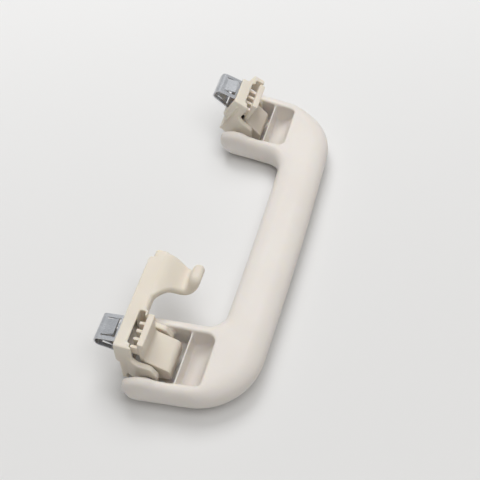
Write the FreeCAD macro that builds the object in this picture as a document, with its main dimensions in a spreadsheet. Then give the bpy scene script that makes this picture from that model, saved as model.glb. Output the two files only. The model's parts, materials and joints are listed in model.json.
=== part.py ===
# Folding roof grab handle lying on its front face, pocket side up, in millimetres.
# +Y runs along the grip, the two legs reach towards -X and +Z points out of the pockets.
# The origin is in the middle of the flat land on the front of the grip.
import FreeCAD, Part
import math
import os
import re

Vector = FreeCAD.Vector
Rotation = FreeCAD.Rotation
Placement = FreeCAD.Placement

# Driving dimensions, one named cell each.
SIZES = {
    # Handle moulding
    "body_depth": 20.5,
    "rim_round_depth": 8.0,
    "rim_round_inset": 5.5,
    "front_round_inset": 9.5,
    "front_tip_factor": 1.35,
    "grip_width": 27.6,
    "grip_bow_radius": 2800.0,
    "outer_corner_radius": 37.0,
    "inner_corner_radius": 10.5,
    "hinge_reach": 43.7,
    "leg_spacing": 179.2,
    "leg_outer_half": 23.0,
    "leg_inner_half": 24.2,
    "outer_splay": 6.7,
    "inner_splay": 4.6,
    "tip_overhang": 13.5,
    "tip_corner_radius": 7.0,
    "tip_corner_least": 1.5,
    # Pocket in each leg
    "pocket_floor": 3.5,
    "pocket_outer_half": 15.2,
    "pocket_inner_half": 17.4,
    "pocket_inner_splay": 3.4,
    "pocket_reach": 13.5,
    "pocket_inner_corner": 4.5,
    "pocket_outer_corner": 2.5,
    "pocket_run": 25.0,
    "wall_lap": 0.5,
    "rib_clearance": 3.5,
    "rib_thick": 1.2,
    "rib_drop": 2.0,
    "peg_radius": 1.3,
    "peg_length": 1.6,
    "knuckle_height": 2.6,
    "knuckle_length": 25.0,
    "knuckle_wall": 6.4,
    "knuckle_round": 4.6,
    "knuckle_edge": 1.0,
    # Hinge
    "hinge_height": 14.0,
    "pin_radius": 2.0,
    "pin_seat": 3.2,
    "pin_seat_gap": 0.02,
    "pin_end_gap": 0.2,
    "pin_gap": 0.05,
    "pin_chamfer": 0.4,
    "boss_radius": 4.6,
    "ear_gap": 0.3,
    "ear_half": 14.2,
    "ear_thick": 3.2,
    "hub_radius": 5.0,
    "drum_radius": 10.9,
    "drum_gap": 1.2,
    # Bracket block, measured from the hinge axis
    "seat_face": 18.8,
    "pad_thick": 2.0,
    "block_inner": 10.2,
    "recess_end": 14.0,
    "end_wall": 3.2,
    "end_wall_reach": 4.9,
    "end_wall_bottom": 13.2,
    "end_wall_lap": 1.6,
    "end_wall_slant": 12.3,
    "block_half": 11.4,
    "block_top": 23.3,
    "block_bottom": 6.5,
    "lower_inner": 13.6,
    "lower_end": 11.0,
    "cheek_inner": 8.7,
    "cheek_thick": 1.4,
    "cheek_foot": 12.8,
    "cheek_waist": 12.0,
    "cheek_hollow": 6.0,
    "cheek_bottom": 4.0,
    "ear_top": 10.8,
    "ear_nose": 5.6,
    "ear_bend": 6.0,
    "ear_round": 3.5,
    "ear_fillet": 5.0,
    "edge_round": 0.9,
    # Coat hook
    "arm_end": 53.2,
    "arm_pad_end": 47.2,
    "arm_inner": 8.5,
    "arm_bottom": 15.5,
    "arm_round": 2.2,
    "blade_thick": 5.2,
    # Spring clip
    "clip_width": 15.8,
    "clip_thick": 0.8,
    "clip_reach": 12.4,
    "clip_base_height": 11.2,
    "clip_tip_height": 6.9,
    "clip_bend_radius": 2.6,
    "clip_crown_radius": 6.0,
    "clip_shoulder": 0.4,
    "clip_top_cover": 1.6,
    "clip_side_gap": 0.1,
    "clip_tail": 1.2,
    "tongue_half": 4.9,
    "tongue_slit": 0.6,
    "tongue_flare": 1.4,
    "tongue_start": 9.0,
    "tongue_end": 1.6,
    "tongue_root": 0.6,
    "tongue_crest": 1.0,
    "tongue_crown_radius": 3.0,
    # Lock cover
    "cover_half": 9.8,
    "cover_wall": 1.8,
    "cover_skirt": 2.8,
    "cover_crest": 11.0,
    "cover_front": 11.3,
    "cover_corner": 4.5,
    "cover_valley": 3.0,
    "cover_edge": 0.4,
    "lip_top": 27.0,
    "lip_right": 2.0,
    "lip_thick": 3.6,
    "lip_height": 4.0,
    "cover_cheek": 1.5,
    "cover_hub_radius": 4.6,
    "tooth_thick": 2.0,
    "tooth_pitch": 4.8,
    "tooth_first": 6.6,
    "tooth_reach": 10.4,
    "tooth_bottom": 14.0,
    "tooth_top": 20.8,
    "tooth_gap": 0.3,
    "tooth_travel": 4.0,
    # Return spring
    "spring_radius": 4.5,
    "spring_wire": 0.6,
    "spring_pitch": 1.5,
    "spring_turns": 8.25,
    "spring_leg": 6.2,
    "spring_leg_gap": 0.1,
    # Rotary damper
    "damper_radius": 7.6,
    "damper_half": 7.4,
    "damper_wall": 1.3,
    "damper_gap": 0.2,
    "rotor_radius": 4.2,
    "vane_thick": 1.4,
    "key_width": 6.0,
    "key_height": 4.0,
    # Angles in the lying pose: the plain bracket is turned in and its cover is half closed
    "plain_bracket_turn": 29.5,
    "plain_cover_lag": 5.0,
}
TOOTH_COUNT = 4

# The cross rib stands clear of the drum that turns on the hinge.
RIB_X = "(drum_radius + rib_clearance + rib_thick / 2 - hinge_reach)"

doc = FreeCAD.newDocument("roof_grab_handle")
sheet = doc.addObject("Spreadsheet::Sheet", "sizes")
for row, (alias, value) in enumerate(SIZES.items(), start=1):
    sheet.set("A%d" % row, alias)
    sheet.set("B%d" % row, str(value))
    sheet.setAlias("B%d" % row, alias)
doc.recompute()


def size(alias):
    """Value of one named cell."""
    return float(sheet.get(alias))


def cell(text):
    """Expression text with each cell name given its sheet."""
    return re.sub(r"\b([a-z]+(?:_[a-z]+)+)\b", r"sizes.\1", text)


def value(text):
    """Value of an expression of the cells."""
    return float(sheet.evalExpression(text))


def bind(item, **expressions):
    """Binds properties such as Placement_Base_x to expressions of the cells."""
    for name, text in expressions.items():
        item.setExpression(name.replace("_", "."), cell(text))
    return item


def box(name, low, high):
    """Box between two corners, each a tuple of three expressions."""
    item = doc.addObject("Part::Box", name)
    bind(item, Length="(%s) - (%s)" % (high[0], low[0]), Width="(%s) - (%s)" % (high[1], low[1]),
         Height="(%s) - (%s)" % (high[2], low[2]))
    return bind(item, Placement_Base_x=low[0], Placement_Base_y=low[1], Placement_Base_z=low[2])


def rod(name, radius, start, end, x="0", z="0"):
    """Cylinder along Y from start to end."""
    item = doc.addObject("Part::Cylinder", name)
    item.Placement = Placement(Vector(0, 0, 0), Rotation(Vector(1, 0, 0), -90))
    bind(item, Radius=radius, Height="(%s) - (%s)" % (end, start))
    return bind(item, Placement_Base_x=x, Placement_Base_y=start, Placement_Base_z=z)


def fuse(name, items):
    item = doc.addObject("Part::MultiFuse", name)
    item.Shapes = items
    item.Refine = True
    return item


def cut(name, base, tool):
    item = doc.addObject("Part::Cut", name)
    item.Base = base
    item.Tool = tool
    item.Refine = True
    return item


def common(name, items):
    item = doc.addObject("Part::MultiCommon", name)
    item.Shapes = items
    return item


def arc_through(centre, radius, start_angle, end_angle):
    """Arc about a centre in the sketch plane, between two angles in degrees."""
    points = []
    for angle in (start_angle, (start_angle + end_angle) / 2, end_angle):
        turn = math.radians(angle)
        points.append(Vector(centre[0] + radius * math.cos(turn), centre[1] + radius * math.sin(turn), 0))
    return Part.Arc(*points)


def rounded(corners):
    """Closed outline through corners (x, y, radius) as lines and tangent arcs."""
    edges = []
    starts = []
    ends = []
    count = len(corners)
    for index, (x, y, radius) in enumerate(corners):
        here = Vector(x, y, 0)
        before = Vector(corners[index - 1][0], corners[index - 1][1], 0)
        after = Vector(corners[(index + 1) % count][0], corners[(index + 1) % count][1], 0)
        back = (before - here).normalize()
        ahead = (after - here).normalize()
        if radius <= 0:
            starts.append(here)
            ends.append(here)
            edges.append(None)
            continue
        half = back.getAngle(ahead) / 2
        reach = radius / math.tan(half)
        middle = here + (back + ahead).normalize() * (radius / math.sin(half) - radius)
        starts.append(here + back * reach)
        ends.append(here + ahead * reach)
        edges.append(Part.Arc(starts[-1], middle, ends[-1]))
    outline = []
    for index in range(count):
        if edges[index] is not None:
            outline.append(edges[index])
        leave = ends[index]
        arrive = starts[(index + 1) % count]
        if leave.distanceToPoint(arrive) > 1e-6:
            outline.append(Part.LineSegment(leave, arrive))
    return outline


def strip(points, radii, thickness):
    """Closed outline of a bent strip whose middle line runs through the points."""
    left = []
    right = []
    last = len(points) - 1
    for index, point in enumerate(points):
        here = Vector(point[0], point[1], 0)
        normals = []
        if index > 0:
            run = (here - Vector(points[index - 1][0], points[index - 1][1], 0)).normalize()
            normals.append(Vector(-run.y, run.x, 0))
        if index < last:
            run = (Vector(points[index + 1][0], points[index + 1][1], 0) - here).normalize()
            normals.append(Vector(-run.y, run.x, 0))
        side = (normals[0] + normals[-1]).normalize()
        reach = thickness / 2 / side.dot(normals[0])
        turn = 0.0
        if len(normals) == 2:
            turn = normals[0].cross(normals[1]).z
        near = radii[index] - math.copysign(thickness / 2, turn) if radii[index] else 0
        far = radii[index] + math.copysign(thickness / 2, turn) if radii[index] else 0
        left.append((here.x + side.x * reach, here.y + side.y * reach, near))
        right.append((here.x - side.x * reach, here.y - side.y * reach, far))
    return rounded(left + right[::-1])


def sketch(name, outline, placement):
    item = doc.addObject("Sketcher::SketchObject", name)
    item.Placement = placement
    item.addGeometry(outline, False)
    return item


def side_sketch(name, outline):
    """Sketch in the XZ plane: its x is +X and its y is +Z."""
    return sketch(name, outline, Placement(Vector(0, 0, 0), Rotation(Vector(1, 0, 0), 90)))


def plan_sketch(name, outline):
    return sketch(name, outline, Placement())


def slab(name, profile, start, end):
    """Extrusion of a side sketch along Y from start to end."""
    item = doc.addObject("Part::Extrusion", name)
    item.Base = profile
    item.DirMode = "Custom"
    item.Dir = Vector(0, 1, 0)
    item.Solid = True
    return bind(item, LengthFwd=end, LengthRev="-(%s)" % start)


def pillar(name, profile, bottom, top):
    """Extrusion of a plan sketch along Z from bottom to top."""
    item = doc.addObject("Part::Extrusion", name)
    item.Base = profile
    item.DirMode = "Custom"
    item.Dir = Vector(0, 0, 1)
    item.Solid = True
    return bind(item, LengthFwd=top, LengthRev="-(%s)" % bottom)


def loft(name, sections):
    item = doc.addObject("Part::Loft", name)
    item.Sections = sections
    item.Solid = True
    item.Ruled = False
    return item


def turned(item, angle, offset_y):
    """Seats a sub-part on the hinge axis of its leg, turned about +Y."""
    item.Placement = Placement(Vector(0, 0, 0), Rotation(Vector(0, 1, 0), angle))
    return bind(item, Placement_Base_x="-hinge_reach", Placement_Base_y=offset_y,
                Placement_Base_z="hinge_height")


# Handle moulding: horizontal outlines of the whole C, lofted from the front land to the rim.
def leg_line(half, splay, side):
    """Point and unit normal of one side of the leg on the +Y half, seen from above."""
    angle = math.radians(size(splay))
    point = Vector(value(RIB_X), size("leg_spacing") / 2 + side * size(half), 0)
    return point, Vector(math.sin(angle), math.cos(angle), 0)


def circle_meets_line(centre, radius, point, normal, offset):
    """Point at a distance from a centre and on a line shifted along its normal, with the larger x."""
    along = Vector(normal.y, -normal.x, 0)
    base = point + normal * offset
    to_base = base - centre
    half = to_base.dot(along)
    reach = math.sqrt(half * half - to_base.dot(to_base) + radius * radius)
    return base + along * (reach - half)


def lines_meet(first, second):
    """Point shared by two lines, each given as a point and a unit normal."""
    (p, n), (q, m) = first, second
    a, b = p.dot(n), q.dot(m)
    det = n.x * m.y - n.y * m.x
    return Vector((a * m.y - b * n.y) / det, (n.x * b - m.x * a) / det, 0)


def leg_half_outline(inset, tip_inset):
    """Corners and arcs of the +Y half of the outline, drawn in by an inset."""
    half_grip = size("grip_width") / 2
    bow = size("grip_bow_radius")
    big_out = Vector(half_grip - bow, 0, 0)
    big_in = Vector(-half_grip - bow, 0, 0)
    outer_point, outer_normal = leg_line("leg_outer_half", "outer_splay", 1)
    inner_point, inner_normal = leg_line("leg_inner_half", "inner_splay", -1)
    outer_r = size("outer_corner_radius")
    inner_r = size("inner_corner_radius")
    outer_centre = circle_meets_line(big_out, bow - outer_r, outer_point, outer_normal, -outer_r)
    inner_centre = circle_meets_line(big_in, bow - inner_r, inner_point, inner_normal, -inner_r)
    outer_line = (outer_point - outer_normal * inset, outer_normal)
    inner_line = (inner_point + inner_normal * inset, inner_normal)
    tip_x = -size("hinge_reach") - size("tip_overhang") + tip_inset
    tip_line = (Vector(tip_x, 0, 0), Vector(1, 0, 0))
    return {
        "outer_start": (outer_centre - big_out).normalize() * (bow - inset) + big_out,
        "outer_middle": outer_centre + Vector(1, 1.06, 0).normalize() * (outer_r - inset),
        "outer_end": outer_centre + outer_normal * (outer_r - inset),
        "tip_outer": lines_meet(outer_line, tip_line),
        "tip_inner": lines_meet(inner_line, tip_line),
        "inner_end": inner_centre + inner_normal * (inner_r + inset),
        "inner_middle": inner_centre + Vector(1, 1, 0).normalize() * (inner_r + inset),
        "inner_start": (inner_centre - big_in).normalize() * (bow + inset) + big_in,
        "outer_crown": Vector(half_grip - inset, 0, 0),
        "inner_crown": Vector(-half_grip + inset, 0, 0),
    }


def flip(point):
    return Vector(point.x, -point.y, 0)


def handle_outline(inset, tip_inset, tip_radius):
    """Closed outline of the whole C at one height: sixteen tangent lines and arcs."""
    p = leg_half_outline(inset, tip_inset)

    def corner(before, here, after):
        back = (before - here).normalize()
        ahead = (after - here).normalize()
        half = back.getAngle(ahead) / 2
        reach = tip_radius / math.tan(half)
        middle = here + (back + ahead).normalize() * (tip_radius / math.sin(half) - tip_radius)
        return here + back * reach, middle, here + ahead * reach

    a = corner(p["outer_end"], p["tip_outer"], p["tip_inner"])
    b = corner(p["tip_outer"], p["tip_inner"], p["inner_end"])
    upper = [
        Part.Arc(p["outer_start"], p["outer_middle"], p["outer_end"]),
        Part.LineSegment(p["outer_end"], a[0]),
        Part.Arc(*a),
        Part.LineSegment(a[2], b[0]),
        Part.Arc(*b),
        Part.LineSegment(b[2], p["inner_end"]),
        Part.Arc(p["inner_end"], p["inner_middle"], p["inner_start"]),
    ]
    lower = [
        Part.Arc(flip(p["inner_start"]), flip(p["inner_middle"]), flip(p["inner_end"])),
        Part.LineSegment(flip(p["inner_end"]), flip(b[2])),
        Part.Arc(flip(b[2]), flip(b[1]), flip(b[0])),
        Part.LineSegment(flip(b[0]), flip(a[2])),
        Part.Arc(flip(a[2]), flip(a[1]), flip(a[0])),
        Part.LineSegment(flip(a[0]), flip(p["outer_end"])),
        Part.Arc(flip(p["outer_end"]), flip(p["outer_middle"]), flip(p["outer_start"])),
    ]
    inner_arc = Part.Arc(p["inner_start"], p["inner_crown"], flip(p["inner_start"]))
    outer_arc = Part.Arc(flip(p["outer_start"]), p["outer_crown"], p["outer_start"])
    return upper + [inner_arc] + lower + [outer_arc]


# Quarter turns of the two round-overs, in degrees from the widest level.
FRONT_TURNS = (90, 75, 60, 42, 22)
RIM_TURNS = (0, 28, 52, 72, 90)


def handle_blank():
    """Solid C with a fully rounded front and a rounded rim."""
    widest = size("body_depth") - size("rim_round_depth")
    sections = []
    levels = [(-1, turn) for turn in FRONT_TURNS] + [(1, turn) for turn in RIM_TURNS]
    for way, turn in levels:
        angle = math.radians(turn)
        rise = size("rim_round_depth") if way > 0 else -widest
        depth = size("rim_round_inset") if way > 0 else size("front_round_inset")
        inset = depth * (1 - math.cos(angle))
        tip_inset = inset if way > 0 else inset * size("front_tip_factor")
        tip_radius = max(size("tip_corner_radius") - 0.6 * inset, size("tip_corner_least"))
        height = widest + rise * math.sin(angle)
        outline = handle_outline(inset, tip_inset, tip_radius)
        name = "outline_%s_%02d" % ("rim" if way > 0 else "front", turn)
        sections.append(sketch(name, outline, Placement(Vector(0, 0, height), Rotation())))
    return loft("handle_blank", sections)


# Height of a knuckle along its wall: shares of its length and of its full height.
KNUCKLE_SHAPE = (
    (0.04, -0.7),
    (0.11, 0.3),
    (0.25, 0.8),
    (0.45, 1.0),
    (0.58, 1.0),
    (0.68, 0.72),
    (0.8, 0.28),
    (1.0, -0.3),
)


# Turns a sketch so that its x is +Y and its y is +Z.
ACROSS = Rotation(Vector(0, 1, 0), Vector(0, 0, 1), Vector(1, 0, 0), "ZXY")


def knuckle(name, tip_x, wall_y):
    """Rounded swelling along the top of a pocket wall on the -Y side of the hinge."""
    rim = size("body_depth")
    deep = rim - 2 * size("knuckle_round")
    sections = []
    for index, (along, rise) in enumerate(KNUCKLE_SHAPE):
        x = tip_x + along * size("knuckle_length")
        top = rim + rise * size("knuckle_height")
        near = wall_y(x)
        far = near - size("knuckle_wall")
        outline = rounded([
            (near, deep, 0),
            (near, top, size("knuckle_edge")),
            (far, top, size("knuckle_round")),
            (far, deep, 0),
        ])
        sections.append(sketch("%s_%d" % (name, index), outline, Placement(Vector(x, 0, 0), ACROSS)))
    return loft(name, sections)


def leg_tools(side, tag):
    """Solids that cut and fill the pocket of one leg; side is 1 for +Y and -1 for -Y."""
    rib_x = value(RIB_X)
    tip_x = -size("hinge_reach") - size("tip_overhang")
    floor = size("pocket_floor")
    rim = size("body_depth")
    over = 5.0
    ramp = rim - floor
    middle = size("leg_spacing") / 2
    outer = (middle + size("pocket_outer_half"), math.tan(math.radians(size("outer_splay"))))
    inner = (middle - size("pocket_inner_half"), math.tan(math.radians(size("pocket_inner_splay"))))

    def wall(line, x):
        return side * (line[0] + (rib_x - x) * line[1])

    end_x = rib_x + size("pocket_reach")
    depth_profile = side_sketch("pocket_depth_" + tag, [
        Part.LineSegment(Vector(tip_x - over, floor, 0), Vector(end_x - ramp, floor, 0)),
        arc_through((end_x - ramp, rim), ramp, -90, 0),
        Part.LineSegment(Vector(end_x, rim, 0), Vector(end_x, rim + over, 0)),
        Part.LineSegment(Vector(end_x, rim + over, 0), Vector(tip_x - over, rim + over, 0)),
        Part.LineSegment(Vector(tip_x - over, rim + over, 0), Vector(tip_x - over, floor, 0)),
    ])
    plan = plan_sketch("pocket_plan_" + tag, rounded([
        (tip_x - over, wall(inner, tip_x - over), 0),
        (end_x, wall(inner, end_x), size("pocket_inner_corner")),
        (end_x, wall(outer, end_x), size("pocket_outer_corner")),
        (tip_x - over, wall(outer, tip_x - over), 0),
    ]))
    centre = "%d * leg_spacing / 2" % side
    pocket = common("pocket_" + tag, [
        slab("pocket_depth_run_" + tag, depth_profile, centre + " - pocket_run", centre + " + pocket_run"),
        pillar("pocket_plan_run_" + tag, plan, "pocket_floor - 1", "body_depth + 5"),
    ])
    relief = rod("drum_relief_" + tag, "drum_radius + drum_gap", centre + " - ear_half - ear_gap",
                 centre + " + ear_half + ear_gap", "-hinge_reach", "hinge_height")
    wall_reach = "pocket_inner_half + wall_lap"
    rib = box("rib_" + tag,
              (RIB_X + " - rib_thick / 2", centre + " - " + wall_reach, "pocket_floor - wall_lap"),
              (RIB_X + " + rib_thick / 2", centre + " + " + wall_reach, "body_depth - rib_drop"))
    bosses = []
    for way, word in ((-1, "low"), (1, "high")):
        ends = ("ear_half + ear_gap", "pocket_inner_half + wall_lap")
        start, end = ends if way > 0 else ("-(%s)" % ends[1], "-(%s)" % ends[0])
        bosses.append(rod("boss_%s_%s" % (word, tag), "boss_radius", centre + " + " + start,
                          centre + " + " + end, "-hinge_reach", "hinge_height"))
    bore = rod("pin_bore_" + tag, "pin_radius + pin_seat_gap", centre + " - pocket_inner_half - pin_seat",
               centre + " + pocket_inner_half + pin_seat", "-hinge_reach", "hinge_height")
    knuckle_line = inner if side > 0 else outer
    swelling = knuckle("knuckle_" + tag, tip_x, lambda x: wall(knuckle_line, x))
    return pocket, relief, [rib, swelling] + bosses, bore


def build_handle():
    blank = handle_blank()
    cuts, fills, bores = [], [], []
    for side, tag in ((1, "plain"), (-1, "hook")):
        pocket, relief, fill, bore = leg_tools(side, tag)
        cuts += [pocket, relief]
        fills += fill
        bores.append(bore)
    peg = doc.addObject("Part::Cylinder", "rib_peg")
    peg.Placement = Placement(Vector(0, 0, 0), Rotation(Vector(0, 1, 0), -90))
    bind(peg, Radius="peg_radius", Height="peg_length + rib_thick / 2", Placement_Base_x=RIB_X,
         Placement_Base_y="leg_spacing / 2", Placement_Base_z="body_depth - rib_drop - 2.5 * peg_radius")
    open_legs = cut("open_legs", blank, fuse("pockets", cuts))
    filled = fuse("filled_legs", [open_legs, peg] + fills)
    return cut("handle_body", filled, fuse("pin_bores", bores))


# Bracket: moulded block, two ears on the hinge pin and, on one side, the coat hook.
def span(near, far, side):
    """Start and end along Y of a run that lies between two distances on one side of the middle."""
    if side > 0:
        return near, far
    return "-(%s)" % far, "-(%s)" % near


def ear(tag, side):
    """Arm that leaves flush with the block's end and flares out to a hub on the pin."""
    hub = size("hub_radius")
    back = -size("seat_face") + size("pad_thick")
    profile = side_sketch("ear_side_" + tag, rounded([
        (back, -hub - 1, 1.0),
        (back, size("cheek_foot") + 1, 1.0),
        (-size("cheek_inner") - 0.5, size("cheek_foot"), 1.5),
        (0.3 * size("ear_nose"), size("ear_top"), size("ear_round")),
        (size("ear_nose"), 0.8 * hub, size("ear_round")),
        (size("ear_nose") - 1, 0.2 - hub, 0.85 * size("ear_round")),
        (-hub, -hub - 0.3, size("ear_fillet")),
    ]))
    thick = size("ear_thick")
    flush = side * (size("block_half") - thick / 2)
    flared = side * (size("ear_half") - thick / 2)
    bend = size("ear_bend")
    bends = strip([(back - 1, flush), (-2 * bend, flush), (-hub - 1.5, flared), (hub + 2, flared)],
                  [0, bend, bend, 0], thick)
    start, end = span("block_half - ear_thick", "ear_half", side)
    arm = common("ear_" + tag, [
        slab("ear_side_run_" + tag, profile, start, end),
        pillar("ear_plan_run_" + tag, plan_sketch("ear_plan_" + tag, bends), "-2 * hub_radius", "block_top"),
    ])
    start, end = span("ear_half - ear_thick", "ear_half", side)
    return [arm, rod("hub_" + tag, "hub_radius", start, end)]


def cheek(tag):
    """Thin wall that closes the -Y end of the block above the ear."""
    back = -size("seat_face") + size("pad_thick")
    low = size("cheek_bottom")
    profile = side_sketch("cheek_side_" + tag, rounded([
        (back, -low, 0),
        (back, size("block_top"), size("edge_round")),
        (-size("cheek_inner"), size("block_top"), size("edge_round")),
        (-size("cheek_inner"), size("cheek_waist"), size("cheek_hollow")),
        (-size("block_inner"), low, low),
        (-size("lower_inner"), -low, 0),
    ]))
    return slab("cheek_" + tag, profile, "-block_half", "-block_half + cheek_thick")


def end_wall():
    """Slanted end of the block without a hook, wrapped round the end of the lock cover's recess."""
    back = -size("seat_face") + size("pad_thick")
    near = size("block_half") - 2 * size("end_wall_lap")
    inner = size("recess_end")
    outer = inner + size("end_wall")
    corner = size("edge_round")
    plan = plan_sketch("end_wall_plan", rounded([
        (back, near, 0),
        (-size("block_inner"), near, 0),
        (-size("block_inner"), inner, corner),
        (-size("end_wall_reach"), inner, 0.7 * corner),
        (-size("end_wall_reach"), outer, corner),
        (-size("end_wall_slant"), outer, corner),
        (back + size("pad_thick"), near + size("end_wall_lap"), 0.7 * corner),
        (back, near + size("end_wall_lap"), 0),
    ]))
    return pillar("end_wall", plan, "end_wall_bottom", "block_top")


def softened(name, base, radius, picked):
    """Fillet on the edges that a test picks."""
    doc.recompute()
    item = doc.addObject("Part::Fillet", name)
    item.Base = base
    edges = enumerate(base.Shape.Edges, start=1)
    item.Edges = [(index, radius, radius) for index, edge in edges if picked(edge)]
    return item


def on_seat(edge):
    return edge.CenterOfMass.x < -size("seat_face") + 0.01


def along_y(edge):
    return abs(edge.tangentAt(0).y) > 0.9


# Sections along the coat hook, from inside the arm to the finger's tip: distance inwards from the arm's
# middle line, the two edges along Y, height of the middle above the arm's middle, share of the full
# thickness and the rise in degrees.
BLADE_STATIONS = (
    (-13.0, 17.0, 53.0, 0.0, 1.46, 0),
    (-10.6, 19.4, 53.0, 0.0, 1.46, -4),
    (-8.4, 23.2, 52.9, -0.4, 1.42, -12),
    (-6.0, 27.4, 52.6, -1.3, 1.3, -23),
    (-3.4, 30.6, 52.0, -2.6, 1.15, -30),
    (1.0, 33.0, 50.4, -4.9, 1.04, -20),
    (5.0, 33.8, 49.6, -5.4, 1.04, 16),
    (8.0, 35.0, 49.6, -3.4, 1.1, 52),
    (9.4, 36.2, 49.6, -0.4, 1.2, 76),
    (9.8, 37.4, 49.6, 2.0, 1.24, 88),
    (9.9, 38.8, 49.0, 3.5, 0.95, 90),
    (9.9, 41.2, 47.4, 4.2, 0.4, 90),
)


def blade_section(name, station):
    """Rounded rectangle across the hook's blade."""
    reach, low, high, lift, share, rise = station
    half_w = (high - low) / 2
    half_t = share * size("blade_thick") / 2
    corner = 0.84 * half_t
    outline = rounded([
        (-half_w, -half_t, corner),
        (half_w, -half_t, corner),
        (half_w, half_t, corner),
        (-half_w, half_t, corner),
    ])
    facing = Rotation(Vector(0, 1, 0), -rise).multiply(ACROSS)
    arm_middle = (size("arm_bottom") + size("block_top")) / 2
    middle = Vector(reach, (low + high) / 2, arm_middle + lift)
    return sketch(name, outline, Placement(middle, facing))


def hook_solids():
    """Arm along the block's top and the upturned coat hook at its end."""
    sections = []
    for index, station in enumerate(BLADE_STATIONS):
        sections.append(blade_section("blade_%02d" % index, station))
    blade = loft("hook_blade", sections)
    arm = box("hook_arm", ("-seat_face + pad_thick", "recess_end", "arm_bottom"),
              ("-arm_inner", "arm_end", "block_top"))
    free_end = size("arm_end") - 0.1
    arm_round = softened("hook_arm_round", arm, size("arm_round"),
                         lambda edge: along_y(edge) or edge.CenterOfMass.y > free_end)
    return [arm_round, blade]


def build_bracket(name, with_hook, angle, offset_y):
    block_end = "recess_end" if with_hook else "block_half - end_wall_lap"
    block = box("block_" + name, ("-seat_face + pad_thick - wall_lap", "-block_half", "block_bottom"),
                ("-block_inner", block_end, "block_top"))
    pad = box("pad_" + name, ("-seat_face", "-block_half", "block_bottom"),
              ("-seat_face + pad_thick", block_end, "block_top"))
    lower = box("lower_" + name, ("-seat_face + pad_thick", "-block_half", "-lower_end"),
                ("-lower_inner", "block_half", "block_bottom + wall_lap"))
    pieces = [block, lower, softened("pad_round_" + name, pad, size("edge_round"), on_seat), cheek(name)]
    for side, word in ((-1, "low"), (1, "high")):
        pieces += ear("%s_%s" % (word, name), side)
    if with_hook:
        arm_pad = box("arm_pad", ("-seat_face", "recess_end - 1", "arm_bottom"),
                      ("-seat_face + pad_thick + 2", "arm_pad_end", "block_top"))
        pieces.append(softened("arm_pad_round", arm_pad, size("edge_round"),
                               lambda edge: on_seat(edge) and along_y(edge)))
        pieces += hook_solids()
    else:
        pieces.append(end_wall())
    whole = fuse("whole_" + name, pieces)
    clip_low = "block_top - clip_top_cover - clip_base_height"
    clip_high = "block_top - clip_top_cover"
    window = box("window_" + name, ("-seat_face - 1", "-clip_width / 2 - clip_side_gap", clip_low),
                 ("-block_inner + 1", "clip_width / 2 + clip_side_gap", clip_high))
    last_tooth = "(tooth_first - %d * tooth_pitch)" % (TOOTH_COUNT - 1)
    recess_start = last_tooth + " - tooth_thick / 2 - tooth_gap"
    recess = box("tooth_recess_" + name, ("-block_inner - tooth_travel", recess_start, clip_low),
                 ("-block_inner + 1", "recess_end - 1", clip_high))
    bore = rod("ear_bore_" + name, "pin_radius + pin_gap", "-ear_half - 1", "ear_half + 1")
    opened = cut(name, whole, fuse("openings_" + name, [window, recess, bore]))
    return turned(opened, angle, offset_y)


def build_pin(name, offset_y):
    half = "(pocket_inner_half + pin_seat - pin_end_gap)"
    plain = rod("rod_" + name, "pin_radius", "-" + half, half)
    doc.recompute()
    item = doc.addObject("Part::Chamfer", name)
    item.Base = plain
    chamfer = size("pin_chamfer")
    edges = enumerate(plain.Shape.Edges, start=1)
    item.Edges = [(index, chamfer, chamfer) for index, edge in edges if edge.Closed]
    return turned(item, 0, offset_y)


def build_clip(name, angle, offset_y):
    """Bent strip with a sprung tongue cut free in each leg."""
    thick = size("clip_thick")
    top = size("block_top") - size("clip_top_cover") - thick / 2
    low = size("block_top") - size("clip_top_cover") - size("clip_base_height") + thick / 2
    middle = (top + low) / 2
    tip = size("clip_tip_height") / 2 - thick / 2
    tail_x = -size("block_inner") - size("clip_tail")
    seat_x = -size("seat_face")
    tip_x = seat_x - size("clip_reach") + thick / 2
    bend = size("clip_bend_radius")
    crown = size("clip_crown_radius")
    shoulder_x = seat_x - size("clip_shoulder")
    outline = strip([
        (tail_x, top),
        (shoulder_x, top),
        (tip_x, middle + tip),
        (tip_x, middle - tip),
        (shoulder_x, low),
        (tail_x, low),
    ], [0, crown, bend, bend, crown, 0], thick)
    band_side = side_sketch("band_side_" + name, outline)
    band = slab("band_" + name, band_side, "-clip_width / 2", "clip_width / 2")
    beyond = "block_top - clip_top_cover - 2 * clip_base_height"
    free = box("tongue_gap_" + name,
               ("-seat_face - tongue_start", "-tongue_half - tongue_slit", beyond),
               ("-seat_face - tongue_end + tongue_slit", "tongue_half + tongue_slit", "block_top + 2"))
    frame = cut("frame_" + name, band, free)
    start_x = seat_x - size("tongue_start")
    end_x = seat_x - size("tongue_end")
    slope = (top - middle - tip) / (shoulder_x - tip_x)
    root_x = start_x - size("tongue_root")
    crest_x = start_x + size("tongue_crest")
    rise = tip + slope * (root_x - tip_x)
    tongues = []
    for way, word in ((1, "top"), (-1, "low")):
        root_z = middle + way * rise
        crest_z = root_z + way * slope * (crest_x - root_x)
        far_z = middle + way * (top + size("tongue_flare") - middle)
        line = [(root_x, root_z), (crest_x, crest_z), (end_x, far_z)]
        bends = [0, size("tongue_crown_radius"), 0]
        profile = side_sketch("tongue_side_%s_%s" % (word, name), strip(line, bends, thick))
        tongues.append(slab("tongue_%s_%s" % (word, name), profile, "-tongue_half", "tongue_half"))
    return turned(fuse(name, [frame] + tongues), angle, offset_y)


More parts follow.
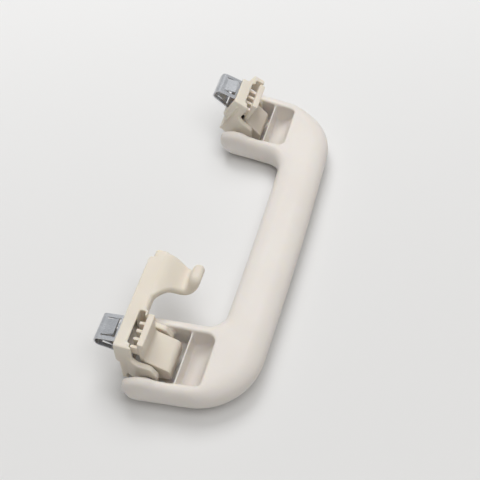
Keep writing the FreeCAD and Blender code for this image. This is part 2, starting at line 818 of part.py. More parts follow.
def build_cover(name, angle, offset_y):
    """Shell over the hinge with a wall up from it, a lip and the teeth that lock the clip."""
    wall = size("cover_wall")
    right = -size("lip_right")
    lip_left = right - size("lip_thick")
    lip_low = size("lip_top") - size("lip_height")
    wall_left = right - 1.7 * wall
    front = size("cover_front")
    crest = size("cover_crest")
    corner = size("cover_corner")
    skirt = -size("cover_skirt")
    hub = size("cover_hub_radius")
    edge = size("cover_edge")
    valley = size("cover_valley")
    outer = side_sketch("shell_side_" + name, rounded([
        (front, skirt, edge),
        (front, crest / 2, corner),
        (right - valley / 3, crest, valley),
        (right, size("lip_top"), 1.5 * edge),
        (lip_left, size("lip_top"), edge),
        (lip_left, lip_low, edge),
        (wall_left, lip_low - valley * edge, 1.5 * edge),
        (wall_left, crest - wall, edge),
        (-hub, hub / 2, 2.5 * edge),
        (-hub, -hub, 0.8 * hub),
        (hub, -hub, 0.8 * hub),
    ]))
    beyond = wall_left - hub
    inner = side_sketch("hollow_side_" + name, rounded([
        (front - wall, skirt - 2 * hub, 0),
        (front - wall, crest / 2 - 0.3 * wall, corner - wall),
        (right - valley / 3, crest - wall, 2 * valley / 3),
        (beyond, crest - wall, 0),
        (beyond, skirt - 2 * hub, 0),
    ]))
    shell = cut("shell_" + name, slab("shell_run_" + name, outer, "-cover_half", "cover_half"),
                slab("hollow_run_" + name, inner, "-cover_half + cover_cheek", "cover_half - cover_cheek"))
    pieces = [shell]
    for index in range(TOOTH_COUNT):
        middle = "(tooth_first - %d * tooth_pitch)" % index
        pieces.append(box("tooth_%d_%s" % (index, name),
                          ("-tooth_reach", middle + " - tooth_thick / 2", "tooth_bottom"),
                          ("-lip_right - cover_wall", middle + " + tooth_thick / 2", "tooth_top")))
    bore = rod("cover_bore_" + name, "pin_radius + pin_gap", "-cover_half - 1", "cover_half + 1")
    return turned(cut(name, fuse("moulded_" + name, pieces), bore), angle, offset_y)


def build_spring(name, angle, offset_y):
    """Coil round the pin with a short upper leg and a long leg along its bottom."""
    along_y = Rotation(Vector(1, 0, 0), -90)
    start = "-spring_pitch * spring_turns / 2"
    end = "spring_pitch * spring_turns / 2"
    coil = doc.addObject("Part::Helix", "spring_path")
    coil.Placement = Placement(Vector(0, 0, 0), along_y)
    bind(coil, Radius="spring_radius", Pitch="spring_pitch", Height="spring_pitch * spring_turns",
         Placement_Base_y=start)
    wire = doc.addObject("Part::Circle", "spring_wire_end")
    bind(wire, Radius="spring_wire", Placement_Base_x="spring_radius", Placement_Base_y=start)
    sweep = doc.addObject("Part::Sweep", "spring_coil")
    sweep.Sections = [wire]
    sweep.Spine = (coil, [])
    sweep.Solid = True
    sweep.Frenet = True
    upper = doc.addObject("Part::Cylinder", "spring_upper_leg")
    bind(upper, Radius="spring_wire", Height="spring_leg", Placement_Base_x="spring_radius",
         Placement_Base_y=start)
    lower = doc.addObject("Part::Cylinder", "spring_lower_leg")
    lower.Placement = Placement(Vector(0, 0, 0), Rotation(Vector(0, 1, 0), -90))
    bind(lower, Radius="spring_wire", Height="lower_inner - spring_leg_gap", Placement_Base_y=end,
         Placement_Base_z="-spring_radius")
    return turned(fuse(name, [sweep, upper, lower]), angle, offset_y)


def build_damper(angle, offset_y):
    """Cup keyed to the bracket, its lid and the vaned rotor on the pin."""
    inside = "damper_radius - damper_wall"
    cup = cut("damper_cup", rod("damper_shell", "damper_radius", "-damper_half", "damper_half"),
              rod("damper_bore", inside, "-damper_half + damper_wall", "damper_half + 1"))
    key = box("damper_key", ("-lower_inner", "-key_width / 2", "-key_height"),
              ("-damper_radius + 0.95 * damper_wall", "key_width / 2", "0"))
    housing = cut("damper_housing", fuse("damper_keyed", [cup, key]),
                  rod("damper_pin_bore", "pin_radius + pin_gap", "-damper_half - 1", "damper_half"))
    lid = cut("damper_lid", rod("damper_disc", inside, "damper_half - damper_wall", "damper_half"),
              rod("damper_lid_bore", "pin_radius + pin_gap", "0", "damper_half + 1"))
    low, high = "-damper_half + damper_wall + damper_gap", "damper_half - damper_wall - damper_gap"
    sleeve = rod("rotor_sleeve", "rotor_radius", low, high)
    vane = box("rotor_vane", ("-damper_radius + damper_wall + damper_gap", low, "-vane_thick / 2"),
               ("damper_radius - damper_wall - damper_gap", high, "vane_thick / 2"))
    rotor = cut("damper_rotor", fuse("rotor_blank", [sleeve, vane]),
                rod("rotor_bore", "pin_radius + pin_seat_gap", "-damper_half", "damper_half"))
    return [turned(housing, angle, offset_y), turned(lid, angle, offset_y), turned(rotor, 0, offset_y)]


HOOK_Y = "-leg_spacing / 2"
PLAIN_Y = "leg_spacing / 2"
plain_turn = size("plain_bracket_turn")

sub_parts = [build_handle()]
sub_parts.append(build_bracket("hook_bracket", True, 0, HOOK_Y))
sub_parts.append(build_bracket("plain_bracket", False, plain_turn, PLAIN_Y))
sub_parts.append(build_pin("hook_side_pin", HOOK_Y))
sub_parts.append(build_pin("plain_side_pin", PLAIN_Y))
sub_parts.append(build_clip("hook_side_clip", 0, HOOK_Y))
sub_parts.append(build_clip("plain_side_clip", plain_turn, PLAIN_Y))
sub_parts.append(build_cover("hook_side_lock_cover", 0, HOOK_Y))
sub_parts.append(build_cover("plain_side_lock_cover", plain_turn - size("plain_cover_lag"), PLAIN_Y))
sub_parts.append(build_spring("return_spring", 0, HOOK_Y))
sub_parts += build_damper(plain_turn, PLAIN_Y)

doc.recompute()
for item in doc.Objects:
    if "Invalid" in item.State or "Error" in item.State:
        raise RuntimeError("%s failed: %s" % (item.Name, item.State))

os.makedirs("parts", exist_ok=True)
for item in sub_parts:
    if item.Shape.isNull() or not item.Shape.isValid():
        raise RuntimeError("%s has no valid shape" % item.Name)
    item.Label = item.Name
    bounds = item.Shape.BoundBox
    ranges = (bounds.XMin, bounds.XMax, bounds.YMin, bounds.YMax, bounds.ZMin, bounds.ZMax)
    solids = len(item.Shape.Solids)
    print("%-24s %d solid, %9.1f mm3," % (item.Label, solids, item.Shape.Volume),
          "x %.1f..%.1f y %.1f..%.1f z %.1f..%.1f" % ranges)
    item.Shape.exportStep("parts/%s.step" % item.Label)
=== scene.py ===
"""Studio scene of a folding roof grab handle: materials, rounded mouldings, light and camera."""
import json
import math

import bpy
import bmesh
import numpy
from mathutils import Matrix, Vector
from mathutils.bvhtree import BVHTree
from mathutils.kdtree import KDTree


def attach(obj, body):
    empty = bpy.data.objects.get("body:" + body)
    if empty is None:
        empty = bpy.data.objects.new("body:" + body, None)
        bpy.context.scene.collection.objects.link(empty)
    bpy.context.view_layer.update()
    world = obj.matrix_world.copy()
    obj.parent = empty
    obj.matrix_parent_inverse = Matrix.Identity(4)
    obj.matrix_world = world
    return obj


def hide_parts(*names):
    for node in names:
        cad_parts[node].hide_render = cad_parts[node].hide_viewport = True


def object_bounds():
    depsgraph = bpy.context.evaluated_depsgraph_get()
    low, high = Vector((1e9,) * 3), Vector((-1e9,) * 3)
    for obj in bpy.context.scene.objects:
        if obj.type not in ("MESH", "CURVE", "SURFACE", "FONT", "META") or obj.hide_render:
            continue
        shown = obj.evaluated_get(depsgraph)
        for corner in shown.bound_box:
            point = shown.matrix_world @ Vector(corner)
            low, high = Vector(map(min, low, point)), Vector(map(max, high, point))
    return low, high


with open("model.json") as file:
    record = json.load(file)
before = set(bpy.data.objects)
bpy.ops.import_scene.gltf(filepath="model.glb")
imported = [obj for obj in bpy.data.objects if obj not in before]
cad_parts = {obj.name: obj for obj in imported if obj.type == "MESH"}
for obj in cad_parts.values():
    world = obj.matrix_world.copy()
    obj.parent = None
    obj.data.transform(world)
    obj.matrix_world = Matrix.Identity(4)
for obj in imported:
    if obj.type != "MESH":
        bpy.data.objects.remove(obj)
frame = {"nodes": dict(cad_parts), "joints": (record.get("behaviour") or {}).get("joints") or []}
cad_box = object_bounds()
MM = 0.001


# Materials, with texture scales in features per metre

MOTTLE_SCALE = 38
HANDLING_SCALE = 140
WAVE_SCALE = 120
GRAIN_SCALE = 2600
PLATING_SCALE = 260
STREAK_SCALE = 1500
GRAIN_STRENGTH = 0.35
WAVE_STRENGTH = 0.12
WAVE_HEIGHT = 0.12 * MM
STREAK_STRENGTH = 0.3
SCATTER_WEIGHT = 0.3
SCATTER_RADIUS = (3.2 * MM, 2.4 * MM, 1.3 * MM)
STREAKS_ACROSS_Y = (1, 14, 1)
STREAKS_ALONG_Y = (14, 1, 14)
NO_STREAKS = (1, 1, 1)


def new_material(name):
    material = bpy.data.materials.new(name)
    material.use_nodes = True
    nodes = material.node_tree.nodes
    return material, nodes, material.node_tree.links, nodes["Principled BSDF"]


def noise(nodes, links, scale, detail, stretch=(1, 1, 1)):
    """Noise over the object's own coordinates."""
    coordinates = nodes.new("ShaderNodeTexCoord")
    mapping = nodes.new("ShaderNodeMapping")
    mapping.inputs["Scale"].default_value = stretch
    links.new(coordinates.outputs["Object"], mapping.inputs["Vector"])
    texture = nodes.new("ShaderNodeTexNoise")
    texture.inputs["Scale"].default_value = scale
    texture.inputs["Detail"].default_value = detail
    links.new(mapping.outputs["Vector"], texture.inputs["Vector"])
    return texture.outputs["Fac"]


def between(nodes, links, factor, low, high, from_low=0.3, from_high=0.7):
    """Factor stretched to run from one value to another."""
    stretch = nodes.new("ShaderNodeMapRange")
    stretch.inputs["From Min"].default_value = from_low
    stretch.inputs["From Max"].default_value = from_high
    stretch.inputs["To Min"].default_value = low
    stretch.inputs["To Max"].default_value = high
    links.new(factor, stretch.inputs["Value"])
    return stretch.outputs["Result"]


def mixed_colour(nodes, links, factor, first, second):
    mix = nodes.new("ShaderNodeMix")
    mix.data_type = "RGBA"
    mix.inputs["A"].default_value = (*first, 1)
    mix.inputs["B"].default_value = (*second, 1)
    links.new(factor, mix.inputs["Factor"])
    return mix.outputs["Result"]


def bumped(nodes, links, height, strength, distance, under=None):
    """Normal bent by a height, on top of another normal where one is given."""
    bump = nodes.new("ShaderNodeBump")
    bump.inputs["Strength"].default_value = strength
    bump.inputs["Distance"].default_value = distance
    links.new(height, bump.inputs["Height"])
    if under:
        links.new(under, bump.inputs["Normal"])
    return bump.outputs["Normal"]


def moulded_plastic(name, colour, shade, roughness, grain_height, gloss=0.4):
    """Thermoplastic with a faint flow mottle, an eroded grain, a slight wave and handling marks."""
    material, nodes, links, shader = new_material(name)
    mottle = between(nodes, links, noise(nodes, links, MOTTLE_SCALE, 3), 0, 1)
    links.new(mixed_colour(nodes, links, mottle, colour, shade), shader.inputs["Base Color"])
    handled = noise(nodes, links, HANDLING_SCALE, 4)
    worn = between(nodes, links, handled, roughness - 0.05, roughness + 0.07)
    links.new(worn, shader.inputs["Roughness"])
    grain = noise(nodes, links, GRAIN_SCALE, 2)
    grained = bumped(nodes, links, grain, GRAIN_STRENGTH, grain_height)
    wave = noise(nodes, links, WAVE_SCALE, 2)
    waved = bumped(nodes, links, wave, WAVE_STRENGTH, WAVE_HEIGHT, under=grained)
    links.new(waved, shader.inputs["Normal"])
    shader.inputs["Specular IOR Level"].default_value = gloss
    shader.inputs["Subsurface Weight"].default_value = SCATTER_WEIGHT
    shader.inputs["Subsurface Radius"].default_value = SCATTER_RADIUS
    shader.inputs["Subsurface Scale"].default_value = 1.0
    return material


def worked_steel(name, colour, shade, roughness, stretch, scratch_height):
    """Rolled or drawn steel: streaks from the working and a cloudy surface."""
    material, nodes, links, shader = new_material(name)
    cloud = between(nodes, links, noise(nodes, links, PLATING_SCALE, 3), 0, 1)
    links.new(mixed_colour(nodes, links, cloud, colour, shade), shader.inputs["Base Color"])
    streaks = noise(nodes, links, STREAK_SCALE, 3, stretch)
    streaked = between(nodes, links, streaks, roughness - 0.06, roughness + 0.12)
    links.new(streaked, shader.inputs["Roughness"])
    scratched = bumped(nodes, links, streaks, STREAK_STRENGTH, scratch_height)
    links.new(scratched, shader.inputs["Normal"])
    shader.inputs["Metallic"].default_value = 1.0
    return material


ivory = moulded_plastic("ivory_handle", (0.785, 0.746, 0.707), (0.76, 0.718, 0.675),
                        roughness=0.36, grain_height=0.03 * MM, gloss=0.5)
bracket_ivory = moulded_plastic("ivory_bracket", (0.78, 0.725, 0.635), (0.745, 0.685, 0.59),
                                roughness=0.41, grain_height=0.02 * MM, gloss=0.5)
cover_ivory = moulded_plastic("ivory_cover", (0.77, 0.70, 0.61), (0.74, 0.665, 0.57),
                              roughness=0.36, grain_height=0.015 * MM, gloss=0.5)
damper_black = moulded_plastic("damper_black", (0.035, 0.035, 0.038), (0.05, 0.05, 0.053),
                               roughness=0.4, grain_height=0.015 * MM)
clip_steel = worked_steel("zinc_clip", (0.58, 0.59, 0.61), (0.5, 0.51, 0.53),
                          roughness=0.27, stretch=STREAKS_ACROSS_Y, scratch_height=0.01 * MM)
# Near-black steel for the faces inside each clip's loop: painted shade, not a colour of the steel itself.
clip_inside_painted_shade = worked_steel("clip_inside_painted_shade", (0.06, 0.058, 0.056), (0.04, 0.039, 0.038),
                           roughness=0.5, stretch=STREAKS_ACROSS_Y, scratch_height=0.01 * MM)
pin_steel = worked_steel("ground_pin", (0.62, 0.62, 0.62), (0.5, 0.5, 0.51),
                         roughness=0.22, stretch=STREAKS_ALONG_Y, scratch_height=0.006 * MM)
wire_steel = worked_steel("spring_wire", (0.5, 0.5, 0.5), (0.38, 0.37, 0.36),
                          roughness=0.28, stretch=NO_STREAKS, scratch_height=0.01 * MM)

NODE_MATERIALS = {
    "hook_side_pin": pin_steel,
    "plain_side_pin": pin_steel,
    "return_spring": wire_steel,
    "damper_housing": damper_black,
    "damper_lid": damper_black,
    "damper_rotor": damper_black,
}
for node, material in NODE_MATERIALS.items():
    mesh = frame["nodes"][node].data
    mesh.materials.clear()
    mesh.materials.append(material)


# Copies of the solids, with boxes cut from them or joined to them

WELD_DISTANCE = 0.001 * MM


def seat_of(joint_name):
    """Axes of a bracket at its hinge, as drawn: turned in by as much as its joint can turn it back."""
    joint = next(item for item in frame["joints"] if item["name"] == joint_name)
    turn = math.radians(-joint["range_deg"][0])
    return Matrix.Translation(joint["pos_m"]) @ Matrix.Rotation(turn, 4, "Y")


HOOK_SEAT = seat_of("hook_bracket_turn")
PLAIN_SEAT = seat_of("plain_bracket_turn")


def block(low, high, seat):
    """Box between two corners in millimetres from a hinge axis, as a bmesh."""
    solid = bmesh.new()
    bmesh.ops.create_cube(solid, size=1)
    low, high = Vector(low) * MM, Vector(high) * MM
    for vertex in solid.verts:
        place = [low[axis] if vertex.co[axis] < 0 else high[axis] for axis in range(3)]
        vertex.co = seat @ Vector(place)
    return solid


def holder_of(solid, name):
    mesh = bpy.data.meshes.new(name)
    solid.to_mesh(mesh)
    holder = bpy.data.objects.new(name, mesh)
    bpy.context.collection.objects.link(holder)
    return holder


def evaluated_copy(holder):
    graph = bpy.context.evaluated_depsgraph_get()
    return bpy.data.meshes.new_from_object(holder.evaluated_get(graph))


def discard(holder):
    mesh = holder.data
    bpy.data.objects.remove(holder)
    bpy.data.meshes.remove(mesh)


def welded(node, changes=(), seat=None):
    """Closed copy of a node's mesh as a bmesh, with boxes cut from it or joined to it."""
    solid = bmesh.new()
    solid.from_mesh(frame["nodes"][node].data)
    bmesh.ops.remove_doubles(solid, verts=solid.verts, dist=WELD_DISTANCE)
    for operation, low, high in changes:
        holder = holder_of(solid, "base")
        tool = holder_of(block(low, high, seat), "tool")
        boolean = holder.modifiers.new("change", "BOOLEAN")
        boolean.operation = operation
        boolean.object = tool
        changed = evaluated_copy(holder)
        solid.free()
        solid = bmesh.new()
        solid.from_mesh(changed)
        bmesh.ops.remove_doubles(solid, verts=solid.verts, dist=WELD_DISTANCE)
        bpy.data.meshes.remove(changed)
        discard(holder)
        discard(tool)
    return solid


# Mouldings with the rounded edges that a tool leaves

SHARP_ANGLE = math.radians(24)
SOFT_START, SOFT_END = 0.5, 1.6


def points_between(start, end, spacing):
    count = max(1, math.ceil((end - start).length / spacing))
    return [start.lerp(end, step / count) for step in range(count + 1)]


def tree_of(points):
    tree = KDTree(len(points))
    for index, point in enumerate(points):
        tree.insert(point, index)
    tree.balance()
    return tree


def eased(share):
    """Share with a soft start and a soft end."""
    return share * share * (3 - 2 * share)


def sharp_line_tree(solid, spacing):
    """Search tree of points along the edges where the surface turns sharply."""
    points = []
    for edge in solid.edges:
        if len(edge.link_faces) == 2 and edge.calc_face_angle() < SHARP_ANGLE:
            continue
        points += points_between(edge.verts[0].co, edge.verts[1].co, spacing)
    return tree_of(points)


def even_grid(solid, voxel):
    """Evenly meshed copy of a closed solid: the mesh, its vertex places and its edges."""
    holder = holder_of(solid, "coarse")
    remesh = holder.modifiers.new("even", "REMESH")
    remesh.mode = "VOXEL"
    remesh.voxel_size = voxel
    even = evaluated_copy(holder)
    discard(holder)
    places = numpy.empty(len(even.vertices) * 3)
    even.vertices.foreach_get("co", places)
    edges = numpy.empty(len(even.edges) * 2, dtype=numpy.int64)
    even.edges.foreach_get("vertices", edges)
    return even, places.reshape(-1, 3), edges.reshape(-1, 2)


def relaxed(places, edges, rounds):
    """Vertex places after a number of rounds of averaging with their neighbours."""
    counts = numpy.bincount(edges.ravel(), minlength=len(places)).astype(float)[:, None]
    for _ in range(rounds):
        sums = numpy.zeros_like(places)
        for axis in range(3):
            sums[:, axis] += numpy.bincount(edges[:, 0], places[edges[:, 1], axis], len(places))
            sums[:, axis] += numpy.bincount(edges[:, 1], places[edges[:, 0], axis], len(places))
        places = 0.5 * places + 0.5 * sums / counts
    return places


def moulded(name, node, body, material, voxel, rounds, soft_reach,
            changes=(), seat=None, shaped=None):
    """Stands for a node: its own shape, with each sharp edge rounded over a short reach."""
    solid = welded(node, changes, seat)
    lines = sharp_line_tree(solid, voxel)
    surface = BVHTree.FromBMesh(solid)
    mesh, places, edges = even_grid(solid, voxel)
    solid.free()
    soft = relaxed(places, edges, rounds)
    near, far = soft_reach * SOFT_START, soft_reach * SOFT_END
    for index, place in enumerate(soft):
        distance = lines.find(place)[2]
        if distance <= near:
            continue
        share = eased(min(1.0, (distance - near) / (far - near)))
        seated = surface.find_nearest(place)[0]
        soft[index] = place + (numpy.array(seated) - place) * share
    if shaped:
        shaped(soft, edges)
    mesh.vertices.foreach_set("co", soft.ravel())
    mesh.update()
    mesh.shade_smooth()
    mesh.name = name
    mesh.materials.clear()
    mesh.materials.append(material)
    piece = bpy.data.objects.new(name, mesh)
    bpy.context.collection.objects.link(piece)
    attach(piece, body)
    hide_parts(node)


# Grip: its back is a broad crown, where the rounding of the rim runs further in than on the legs

WIDEST = 12.5 * MM
RIM_INSET = 5.5 * MM
CROWN_INSET = 11.0 * MM
CROWN_START = -20 * MM
CROWN_FADE = 14 * MM
OUTLINE_STEP = 0.5 * MM
LEAST_DISTANCE = 0.05 * MM

# Knuckles on each leg's wall towards -Y: where their blend starts and how soon it is full, in millimetres
KNUCKLE_WALLS = (-109.5, 69.0)
WALL_REACH, WALL_FADE = 6.5, 2
KNUCKLE_START, KNUCKLE_FADE = 25, 8
KNUCKLE_BOTTOM, BOTTOM_FADE = 9, 5
TIP_START, TIP_FADE = 47, 6
KNUCKLE_ROUNDS, TIP_ROUNDS = 14, 34


def widest_outline():
    """Search tree of the handle's outer outline at its widest level, seen from above."""
    solid = welded("handle_body")
    level = bmesh.ops.bisect_plane(solid, geom=solid.verts[:] + solid.edges[:] + solid.faces[:],
                                   dist=0.0001 * MM, plane_co=(0, 0, WIDEST), plane_no=(0, 0, 1))
    rim = {item for item in level["geom_cut"] if isinstance(item, bmesh.types.BMEdge)}
    frontmost = max((edge.verts[0] for edge in rim), key=lambda vertex: vertex.co.x)
    reached, waiting, points = {frontmost}, [frontmost], []
    while waiting:
        vertex = waiting.pop()
        for edge in rim.intersection(vertex.link_edges):
            other = edge.other_vert(vertex)
            points += points_between(vertex.co, other.co, OUTLINE_STEP)
            if other not in reached:
                reached.add(other)
                waiting.append(other)
    solid.free()
    return tree_of([(point.x, point.y, 0) for point in points])


def arch(distance, inset):
    """Height share of a quarter ellipse at a distance inwards from its foot."""
    return math.sqrt(max(0.0, 1 - max(0.0, 1 - distance / inset) ** 2))


def ramp(values, start, length):
    """Shares that rise from 0 at the start to 1 after the length."""
    return numpy.clip((values - start) / length, 0, 1)


def blend_knuckles(places, edges):
    """Melts the knuckles beside the hinges into the walls they stand on and rounds those walls' tips."""
    x, y, z = (places / MM).T
    wall = numpy.minimum(numpy.abs(y - KNUCKLE_WALLS[0]), numpy.abs(y - KNUCKLE_WALLS[1]))
    across = ramp(-wall, -WALL_REACH, WALL_FADE)
    along = ramp(-x, KNUCKLE_START, KNUCKLE_FADE)
    knuckle = along * across * ramp(z, KNUCKLE_BOTTOM, BOTTOM_FADE)
    places += (relaxed(places, edges, KNUCKLE_ROUNDS) - places) * knuckle[:, None]
    tip = ramp(-x, TIP_START, TIP_FADE) * across
    places += (relaxed(places, edges, TIP_ROUNDS) - places) * tip[:, None]


def shape_grip(places, edges):
    """Blends the knuckles, then lowers the grip's shoulders to the broad crown."""
    blend_knuckles(places, edges)
    outline = widest_outline()
    raised = (places[:, 2] > WIDEST) & (places[:, 0] > CROWN_START)
    for index in numpy.nonzero(raised)[0]:
        x, y, z = places[index]
        distance = outline.find(Vector((x, y, 0)))[2] + LEAST_DISTANCE
        if distance >= CROWN_INSET:
            continue
        share = eased(min(1.0, (x - CROWN_START) / CROWN_FADE))
        drop = arch(distance, CROWN_INSET) / arch(distance, RIM_INSET)
        places[index, 2] = WIDEST + (z - WIDEST) * (1 + (drop - 1) * share)


# Changes to the brackets, in millimetres from the hinge: the slot over the lock teeth and its walls,
# and the rib and the stepped corner of the plain bracket
SLOT_X = (-11.9, -8.6)
SLOT_NEAR_Y = -7.4
SLOT_BOTTOM = 17.0
HOOK_SLOT_FAR_Y = 12.7
PLAIN_SLOT_FAR_Y = 9.9
WALL_BOTTOM, WALL_TOP = 12.0, 23.3
WALL_FAR_Y = 13.5
WALL_INNER_X = -7.4
ABOVE_BLOCK = 24.5
BEYOND_PAD = -20.0
BEYOND_SIDE = 12.0


def tooth_slot(far_y):
    return "DIFFERENCE", (SLOT_X[0], SLOT_NEAR_Y, SLOT_BOTTOM), (SLOT_X[1], far_y, ABOVE_BLOCK)


def back_corner(x, bottom, top):
    """Cut that takes the back of a bracket off as far as x, between two heights."""
    return "DIFFERENCE", (BEYOND_PAD, -BEYOND_SIDE, bottom), (x, BEYOND_SIDE, top)


END_WALL = ("UNION", (-12.4, HOOK_SLOT_FAR_Y, WALL_BOTTOM), (WALL_INNER_X, 14.0, WALL_TOP))
INNER_WALL = ("UNION", (SLOT_X[1], 10.1, WALL_BOTTOM), (WALL_INNER_X, WALL_FAR_Y, WALL_TOP))
OUTER_WALL = ("UNION", (-13.0, 8.0, 8.0), (SLOT_X[0], WALL_FAR_Y, 22.0))
NEAR_RIB = ("UNION", (-15.7, -12.4, 2.4), (-14.1, -11.0, 19.5))
STEPPED_CORNER = (
    back_corner(-16.0, 1.5, 6.0),
    back_corner(-14.6, -7.0, 1.6),
    back_corner(-12.0, -14.0, -6.3),
)
HOOK_CHANGES = (tooth_slot(HOOK_SLOT_FAR_Y), END_WALL, INNER_WALL, OUTER_WALL)
PLAIN_CHANGES = (tooth_slot(PLAIN_SLOT_FAR_Y), NEAR_RIB, *STEPPED_CORNER)

moulded("grip_moulding", "handle_body", "handle", ivory,
        voxel=0.8 * MM, rounds=4, soft_reach=0.9 * MM, shaped=shape_grip)
moulded("hook_bracket_moulding", "hook_bracket", "hook_bracket", bracket_ivory,
        voxel=0.34 * MM, rounds=12, soft_reach=1.0 * MM, changes=HOOK_CHANGES, seat=HOOK_SEAT)
moulded("plain_bracket_moulding", "plain_bracket", "plain_bracket", bracket_ivory,
        voxel=0.32 * MM, rounds=15, soft_reach=1.1 * MM, changes=PLAIN_CHANGES, seat=PLAIN_SEAT)
for side in ("hook", "plain"):
    moulded(side + "_cover_moulding", side + "_side_lock_cover", side + "_lock_cover",
            cover_ivory, voxel=0.28 * MM, rounds=10, soft_reach=0.7 * MM)


# Spring clips: each tongue is cut free by a slit along both sides, and the legs end short of the slot

TONGUE_HALF = 4.7
SLIT_WIDTH = 1.0
SLIT_X = (-27.8, -19.6)
UPPER_LEG_Z = (15.5, 26.0)
LOWER_LEG_Z = (4.0, 15.0)
LEG_ENDS = ("DIFFERENCE", (-15.0, -9.0, 4.0), (-10.0, 9.0, 26.0))
LOOP_MIDDLE = (-24.0, 0, 16.1)
INWARDS_LEAST = 0.3
BROKEN_EDGE = 0.12 * MM
BROKEN_EDGE_ANGLE = math.radians(35)

CLIP_CHANGES = [LEG_ENDS]
for bottom, top in (UPPER_LEG_Z, LOWER_LEG_Z):
    for side in (-1, 1):
        slit = sorted((side * TONGUE_HALF, side * (TONGUE_HALF + SLIT_WIDTH)))
        CLIP_CHANGES.append(("DIFFERENCE", (SLIT_X[0], slit[0], bottom), (SLIT_X[1], slit[1], top)))


def pressed(name, node, body, seat):
    """Stands for a spring clip: its own shape with crisp slits and finely broken edges, with painted
    shade: a near-black steel on the faces that look into its loop.
    """
    solid = welded(node, CLIP_CHANGES, seat)
    loop_middle = seat @ (Vector(LOOP_MIDDLE) * MM)
    axis = seat.to_3x3() @ Vector((0, 1, 0))
    # Faces that look into the loop get the near-black second material: painted shade where the inside of
    # the loop lies in shadow.
    for face in solid.faces:
        inwards = loop_middle - face.calc_center_median()
        inwards -= axis * inwards.dot(axis)
        face.material_index = int(face.normal.dot(inwards.normalized()) > INWARDS_LEAST)
    piece = holder_of(solid, name)
    solid.free()
    piece.data.materials.clear()
    piece.data.materials.append(clip_steel)
    piece.data.materials.append(clip_inside_painted_shade)
    bevel = piece.modifiers.new("broken_edge", "BEVEL")
    bevel.width = BROKEN_EDGE
    bevel.segments = 2
    bevel.limit_method = "ANGLE"
    bevel.angle_limit = BROKEN_EDGE_ANGLE
    piece.data.shade_smooth()
    normals = piece.modifiers.new("even_shading", "WEIGHTED_NORMAL")
    normals.keep_sharp = True
    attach(piece, body)
    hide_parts(node)


pressed("hook_clip_pressing", "hook_side_clip", "hook_bracket", HOOK_SEAT)
pressed("plain_clip_pressing", "plain_side_clip", "plain_bracket", PLAIN_SEAT)


# Floor and backdrop

FLOOR_HALF = 3.0
PAPER_WHITE = (0.78, 0.78, 0.78, 1)
SEEN_TONE = (0.86, 0.87, 0.88, 1)
FLOOR_GLOW = 0.64
BACKDROP_STRENGTH = 0.8
AMBIENT_TINT = (1.0, 0.96, 0.89, 1)
AMBIENT_STRENGTH = 0.22


def combined(nodes, links, operation, first, second):
    result = nodes.new("ShaderNodeMath")
    result.operation = operation
    links.new(first, result.inputs[0])
    links.new(second, result.inputs[1])
    return result.outputs["Value"]


def seen_or_mirrored(nodes, links):
    """One for what the camera or a reflection sees, nothing for the light on the object."""
    path = nodes.new("ShaderNodeLightPath")
    seen, mirrored = path.outputs["Is Camera Ray"], path.outputs["Is Glossy Ray"]
    return combined(nodes, links, "MAXIMUM", seen, mirrored)


def lamplit_share(nodes, links):
    """Share left, r metres out, of the light right below a lamp one metre up: (1 + r * r) ** -2."""
    coordinates = nodes.new("ShaderNodeTexCoord")
    square = nodes.new("ShaderNodeVectorMath")
    square.operation = "DOT_PRODUCT"
    links.new(coordinates.outputs["Object"], square.inputs[0])
    links.new(coordinates.outputs["Object"], square.inputs[1])
    furthest = FLOOR_HALF ** 2
    slant = between(nodes, links, square.outputs["Value"], 1, 1 + furthest, 0, furthest)
    share = nodes.new("ShaderNodeMath")
    share.operation = "POWER"
    share.inputs[1].default_value = -2
    links.new(slant, share.inputs[0])
    return share.outputs["Value"]


def floor_material():
    """Pale matt paper; its far reaches are seen as evenly pale, without lighting the object."""
    material, nodes, links, shader = new_material("studio_paper")
    shader.inputs["Base Color"].default_value = PAPER_WHITE
    shader.inputs["Roughness"].default_value = 0.9
    shader.inputs["Specular IOR Level"].default_value = 0.1
    unlit = between(nodes, links, lamplit_share(nodes, links), FLOOR_GLOW, 0, 0, 1)
    glow = combined(nodes, links, "MULTIPLY", unlit, seen_or_mirrored(nodes, links))
    shader.inputs["Emission Color"].default_value = SEEN_TONE
    links.new(glow, shader.inputs["Emission Strength"])
    return material


def build_floor():
    mesh = bpy.data.meshes.new("studio_floor")
    low = cad_box[0].z
    corners = [(x * FLOOR_HALF, y * FLOOR_HALF, low) for x, y in ((-1, -1), (1, -1), (1, 1), (-1, 1))]
    mesh.from_pydata(corners, [], [(0, 1, 2, 3)])
    mesh.materials.append(floor_material())
    floor = bpy.data.objects.new("studio_floor", mesh)
    bpy.context.collection.objects.link(floor)


def build_world():
    """Soft light from all round, behind a pale backdrop that only the camera and reflections see."""
    world = bpy.data.worlds.new("studio_world")
    world.use_nodes = True
    nodes, links = world.node_tree.nodes, world.node_tree.links
    light = nodes["Background"]
    light.inputs["Color"].default_value = AMBIENT_TINT
    light.inputs["Strength"].default_value = AMBIENT_STRENGTH
    seen = nodes.new("ShaderNodeBackground")
    seen.inputs["Color"].default_value = SEEN_TONE
    seen.inputs["Strength"].default_value = BACKDROP_STRENGTH
    choice = nodes.new("ShaderNodeMixShader")
    links.new(seen_or_mirrored(nodes, links), choice.inputs["Fac"])
    links.new(light.outputs["Background"], choice.inputs[1])
    links.new(seen.outputs["Background"], choice.inputs[2])
    links.new(choice.outputs["Shader"], nodes["World Output"].inputs["Surface"])
    bpy.context.scene.world = world


# Lamps and camera

KEY_PLACE = (-0.22, 0.42, 0.86)
TOP_PLACE = (0.15, -0.15, 1.0)
FRONT_PLACE = (0.35, -0.8, 0.5)
COOL_WHITE = (0.985, 0.99, 1)
WHITE = (1, 1, 1)

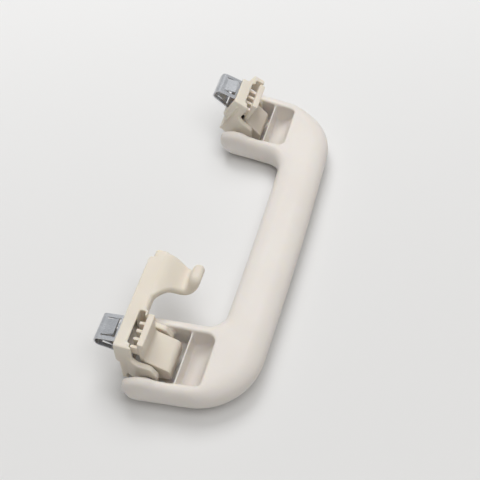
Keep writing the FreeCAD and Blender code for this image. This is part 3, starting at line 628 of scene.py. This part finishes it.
CAMERA_PLACE = (65.4, -301.0, 445.5)
CAMERA_TURN = math.radians(16.33)
CAMERA_RISE = math.radians(54.22)
CAMERA_ROLL = math.radians(0.32)
LENS, SENSOR = 67.5, 36


def soft_box(name, place, width, height, watts, colour=WHITE, lights=True, mirrored=True):
    """Area lamp aimed at the middle of the object, for light, for reflections or for both."""
    middle = (cad_box[0] + cad_box[1]) / 2
    lamp = bpy.data.lights.new(name, "AREA")
    lamp.shape = "RECTANGLE"
    lamp.size = width
    lamp.size_y = height
    lamp.energy = watts
    lamp.color = colour
    holder = bpy.data.objects.new(name, lamp)
    holder.location = place
    holder.rotation_euler = (middle - Vector(place)).to_track_quat("-Z", "Y").to_euler()
    holder.visible_diffuse = lights
    holder.visible_glossy = mirrored
    bpy.context.collection.objects.link(holder)


def build_camera():
    """Camera at the photograph's angle: 54 degrees above the floor, 16 to the right of -Y."""
    back = Vector((math.sin(CAMERA_TURN) * math.cos(CAMERA_RISE),
                   -math.cos(CAMERA_TURN) * math.cos(CAMERA_RISE),
                   math.sin(CAMERA_RISE)))
    right = Vector((math.cos(CAMERA_TURN), math.sin(CAMERA_TURN), 0))
    up = back.cross(right)
    level = Matrix((right, up, back)).transposed()
    camera = bpy.data.objects.new("camera", bpy.data.cameras.new("camera"))
    camera.data.lens = LENS
    camera.data.sensor_width = SENSOR
    camera.data.clip_start = 0.05
    camera.matrix_world = (Matrix.Translation(Vector(CAMERA_PLACE) * MM)
                           @ level.to_4x4() @ Matrix.Rotation(-CAMERA_ROLL, 4, "Z"))
    bpy.context.collection.objects.link(camera)
    bpy.context.scene.camera = camera


build_floor()
build_world()
soft_box("key_light", KEY_PLACE, 0.5, 0.5, watts=5.0, colour=COOL_WHITE, mirrored=False)
soft_box("key_card", KEY_PLACE, 0.6, 0.6, watts=1.6, lights=False)
soft_box("top_light", TOP_PLACE, 0.7, 0.7, watts=4.0, mirrored=False)
soft_box("front_light", FRONT_PLACE, 0.7, 0.4, watts=0.4)
build_camera()
bpy.context.scene.view_settings.view_transform = "Standard"
